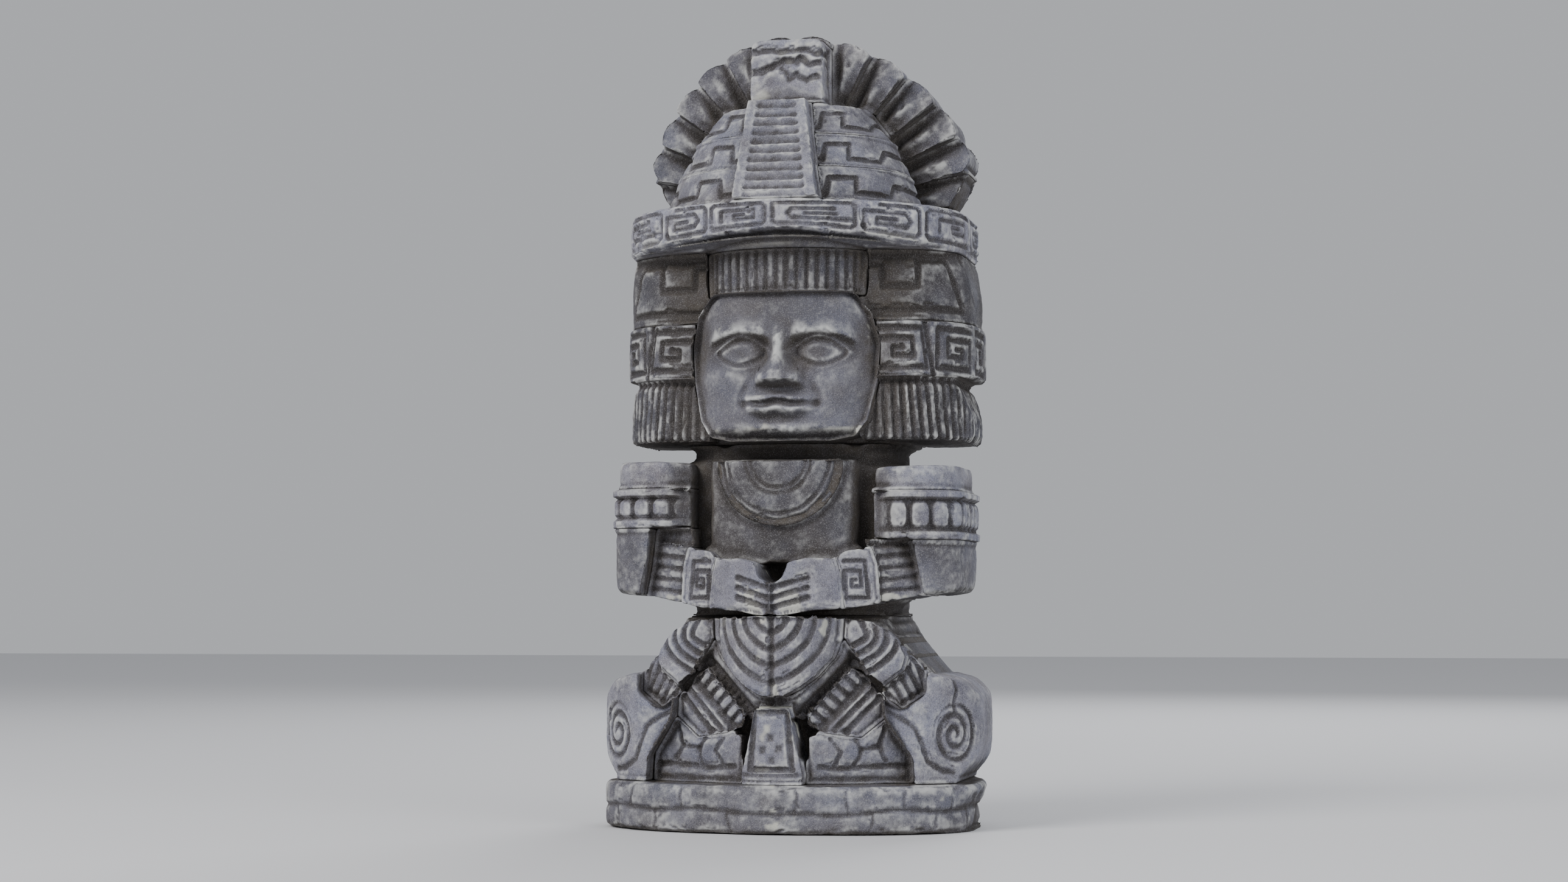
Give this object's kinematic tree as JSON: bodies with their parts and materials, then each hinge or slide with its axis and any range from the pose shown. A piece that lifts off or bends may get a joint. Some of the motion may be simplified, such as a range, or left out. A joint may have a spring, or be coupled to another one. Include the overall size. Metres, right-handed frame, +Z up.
{
  "type": "carved stone idol",
  "caption": "Seated stone idol with folded hands on a bowed plinth, patterned ear blocks, and a headdress of fret brim, stepped temple and feather fan.",
  "frame": {"origin": "middle of the plinth's underside, on the figure's centre plane", "axes": "+Z up; the figure faces -Y; its own left hand is on +X"},
  "size_m": [0.216, 0.1546, 0.444],
  "materials": {
    "grey_stone": "matte, weathered and speckled",
    "stained_stone": "matte, rough and stained dark",
    "bleached_stone": "matte, worn smooth on its high places"
  },
  "bodies": {
    "root": {"apron": "bleached_stone", "crest_root": "stained_stone", "crest_tablet": "bleached_stone", "face": "bleached_stone", "fringe": "stained_stone", "head_block": "stained_stone", "headdress_brim": "bleached_stone", "left_bead_band": "grey_stone", "left_calf": "grey_stone", "left_cuff": "bleached_stone", "left_elbow": "grey_stone", "left_feather_1": "grey_stone", "left_feather_2": "grey_stone", "left_feather_3": "grey_stone", "left_feather_4": "grey_stone", "left_feather_5": "grey_stone", "left_feather_6": "grey_stone", "left_feather_7": "grey_stone", "left_foot": "grey_stone", "left_hand": "bleached_stone", "left_knee_scroll": "grey_stone", "left_rock": "grey_stone", "left_scroll_ear_block": "grey_stone", "left_shin_wrap": "grey_stone", "left_shoulder": "grey_stone", "left_sleeve": "grey_stone", "left_tassel": "grey_stone", "left_thigh": "grey_stone", "left_upper_ear_block": "grey_stone", "loincloth_tab": "bleached_stone", "pectoral": "grey_stone", "plinth": "grey_stone", "right_bead_band": "grey_stone", "right_calf": "grey_stone", "right_cuff": "bleached_stone", "right_elbow": "grey_stone", "right_feather_1": "grey_stone", "right_feather_2": "grey_stone", "right_feather_3": "grey_stone", "right_feather_4": "grey_stone", "right_feather_5": "grey_stone", "right_feather_6": "grey_stone", "right_feather_7": "grey_stone", "right_foot": "grey_stone", "right_hand": "bleached_stone", "right_knee_scroll": "grey_stone", "right_rock": "grey_stone", "right_scroll_ear_block": "grey_stone", "right_shin_wrap": "grey_stone", "right_shoulder": "grey_stone", "right_sleeve": "grey_stone", "right_tassel": "grey_stone", "right_thigh": "grey_stone", "right_upper_ear_block": "grey_stone", "seat_block": "stained_stone", "temple_stair": "bleached_stone", "temple_step_1": "grey_stone", "temple_step_2": "grey_stone", "temple_step_3": "grey_stone", "trunk": "stained_stone"}
  },
  "joints": []
}
